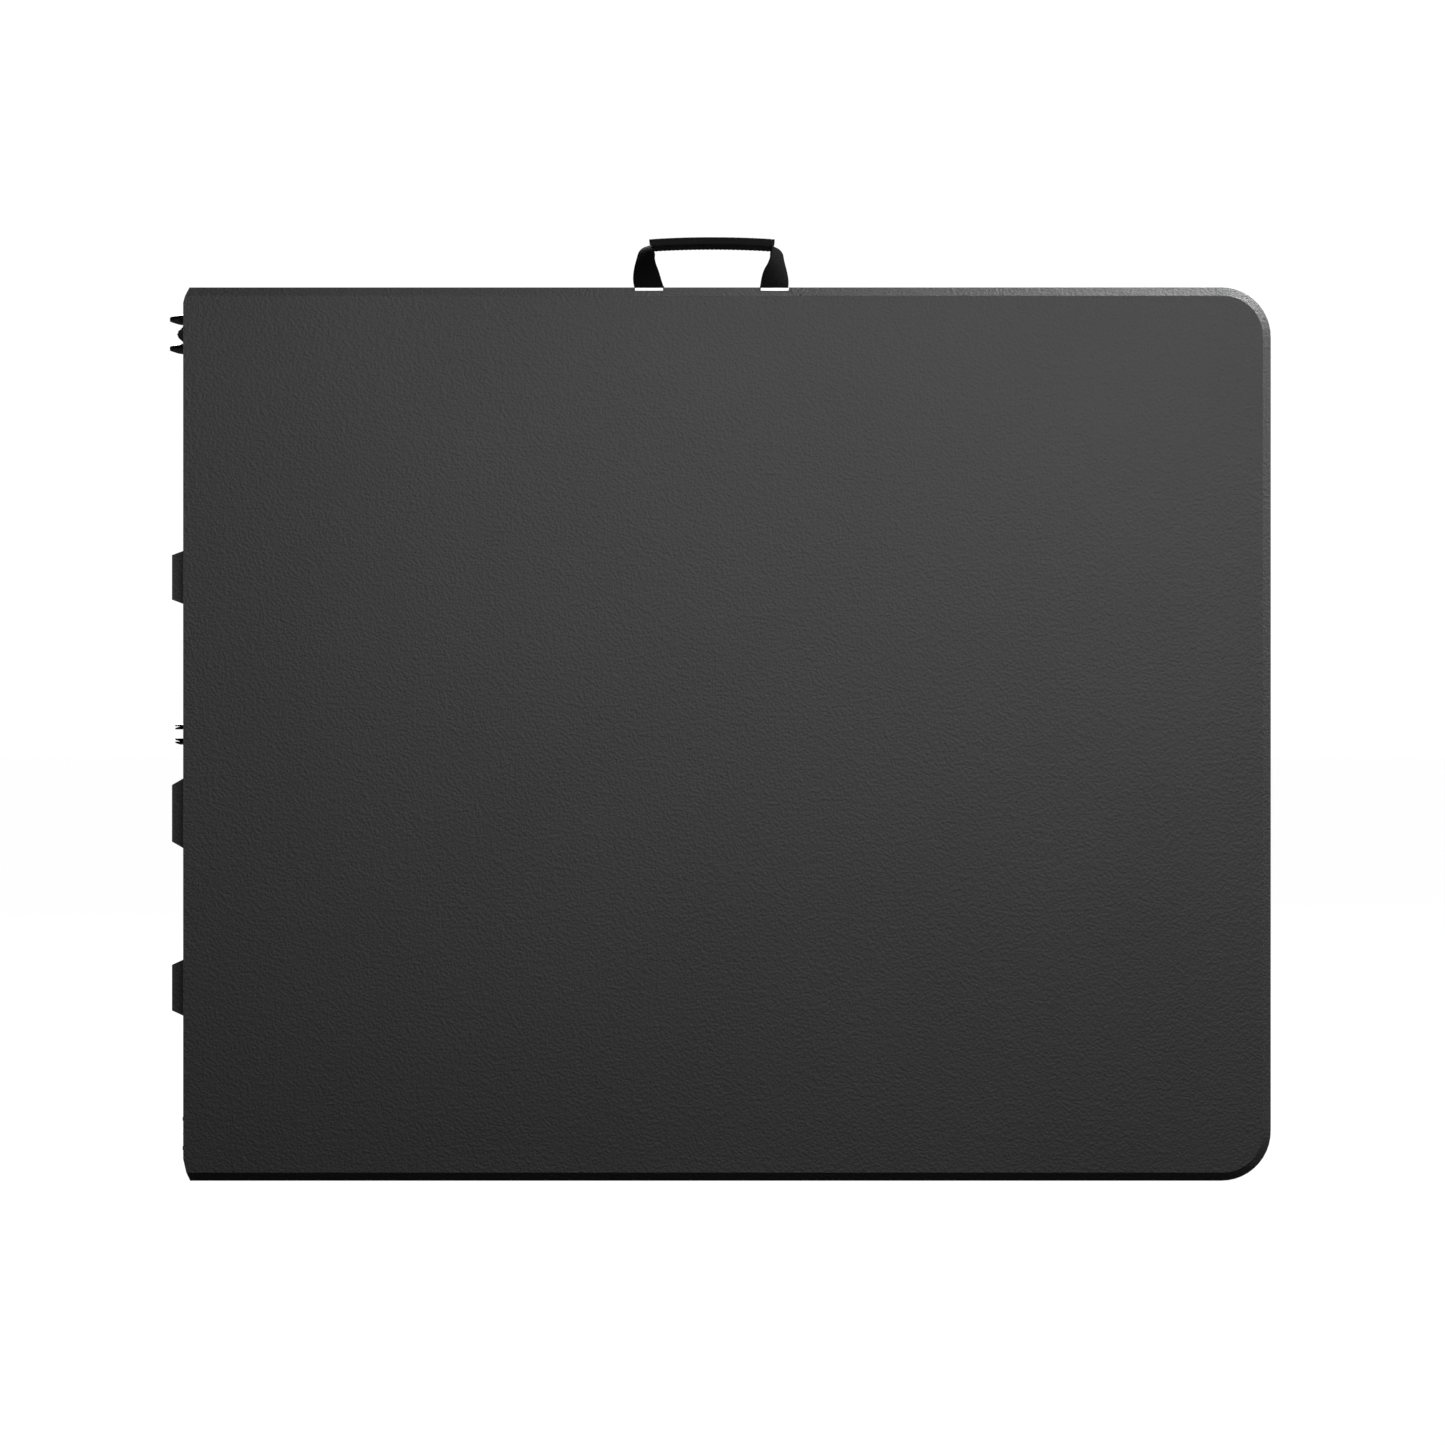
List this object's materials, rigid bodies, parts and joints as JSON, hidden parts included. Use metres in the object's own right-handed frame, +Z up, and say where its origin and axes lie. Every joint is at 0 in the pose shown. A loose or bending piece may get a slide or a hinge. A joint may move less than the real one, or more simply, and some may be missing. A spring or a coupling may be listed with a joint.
{
  "type": "folding table",
  "caption": "Fold-in-half moulded plastic table, stored folded on its long side with a carry handle, with fold-out leg frames and braces.",
  "frame": {"origin": "centre of the bounding box's foot: on the floor plane, midway between the hinge ears and the free end, on the plane where the two halves meet", "axes": "+X from the fold line to the free end, +Y from the front half (a) to the back half (b), +Z up with the table standing on a long side"},
  "size_m": [0.919, 0.096, 0.786],
  "materials": {
    "top_plastic": "pebble-grained blow-moulded polyethylene",
    "black_steel": "satin powder coat",
    "black_plastic": "moulded nylon",
    "grip_plastic": "moulded grip with fine ribs",
    "foot_plastic": "moulded foot cap",
    "roller_plastic": "moulded grey nylon",
    "zinc_steel": "zinc plated",
    "bright_steel": "bright nickel plated",
    "webbing": "woven nylon webbing"
  },
  "bodies": {
    "half_a": {"tabletop_a": "top_plastic", "rail_low_a": "black_steel", "rail_high_a": "black_steel", "fold_bar_a": "black_steel", "centre_hinge_a": "black_steel", "snap_peg_a": "black_plastic", "snap_cup_a": "black_plastic", "rail_screws_a": "zinc_steel", "pivot_brackets_a": "black_plastic", "leg_clips_a": "black_plastic", "hinge_pin_low": "zinc_steel", "hinge_pin_high": "zinc_steel", "hinge_pin_centre": "zinc_steel", "hinge_roller_low": "roller_plastic", "hinge_roller_high": "roller_plastic", "strap_anchors": "bright_steel", "strap_bars": "zinc_steel", "anchor_screws": "zinc_steel"},
    "half_b": {"tabletop_b": "top_plastic", "rail_low_b": "black_steel", "rail_high_b": "black_steel", "fold_bar_b": "black_steel", "centre_hinge_b": "black_steel", "snap_peg_b": "black_plastic", "snap_cup_b": "black_plastic", "rail_screws_b": "zinc_steel", "pivot_brackets_b": "black_plastic", "leg_clips_b": "black_plastic"},
    "handle": {"handle_strap": "webbing", "handle_grip": "grip_plastic"},
    "leg_frame_a": {"leg_low_a": "black_steel", "leg_high_a": "black_steel", "leg_axle_a": "black_steel", "leg_crossbar_a": "black_steel", "leg_feet_a": "foot_plastic"},
    "upper_link_a": {"brace_upper_a": "black_steel"},
    "lower_link_a": {"brace_lower_a": "black_steel", "elbow_rivets_a": "zinc_steel"},
    "leg_frame_b": {"leg_low_b": "black_steel", "leg_high_b": "black_steel", "leg_axle_b": "black_steel", "leg_crossbar_b": "black_steel", "leg_feet_b": "foot_plastic"},
    "upper_link_b": {"brace_upper_b": "black_steel"},
    "lower_link_b": {"brace_lower_b": "black_steel", "elbow_rivets_b": "zinc_steel"}
  },
  "joints": [
    {"name": "fold", "type": "hinge", "parent": "half_a", "child": "half_b", "pos_m": [-0.4405, 0, 0.37], "axis": [0, 0, 1], "range_deg": [0, 180]},
    {"name": "handle_swing", "type": "hinge", "parent": "half_a", "child": "handle", "pos_m": [-0.0035, -0.005, 0.7416], "axis": [1, 0, 0], "range_deg": [-70, 70]},
    {"name": "leg_swing_a", "type": "hinge", "parent": "half_a", "child": "leg_frame_a", "pos_m": [0.4295, -0.014, 0.37], "axis": [0, 0, 1], "range_deg": [-91.3, 0]},
    {"name": "upper_link_swing_a", "type": "hinge", "parent": "half_a", "child": "upper_link_a", "pos_m": [-0.3955, -0.02, 0.37], "axis": [0, 0, 1], "range_deg": [0, 20.93]},
    {"name": "lower_link_swing_a", "type": "hinge", "parent": "leg_frame_a", "child": "lower_link_a", "pos_m": [0.1295, -0.015, 0.37], "axis": [0, 0, 1], "range_deg": [-64.14, 0]},
    {"name": "leg_swing_b", "type": "hinge", "parent": "half_b", "child": "leg_frame_b", "pos_m": [0.4295, 0.014, 0.37], "axis": [0, 0, 1], "range_deg": [0, 91.3]},
    {"name": "upper_link_swing_b", "type": "hinge", "parent": "half_b", "child": "upper_link_b", "pos_m": [-0.3955, 0.02, 0.37], "axis": [0, 0, 1], "range_deg": [-20.93, 0]},
    {"name": "lower_link_swing_b", "type": "hinge", "parent": "leg_frame_b", "child": "lower_link_b", "pos_m": [0.1295, 0.015, 0.37], "axis": [0, 0, 1], "range_deg": [0, 64.14]}
  ],
  "couplings": [
    {"joint": "leg_swing_a", "follows": "fold", "ratio": -0.50719},
    {"joint": "upper_link_swing_a", "follows": "fold", "ratio": 0.11624},
    {"joint": "lower_link_swing_a", "follows": "fold", "ratio": -0.35629},
    {"joint": "leg_swing_b", "follows": "fold", "ratio": 0.50719},
    {"joint": "upper_link_swing_b", "follows": "fold", "ratio": -0.11624},
    {"joint": "lower_link_swing_b", "follows": "fold", "ratio": 0.35629}
  ]
}
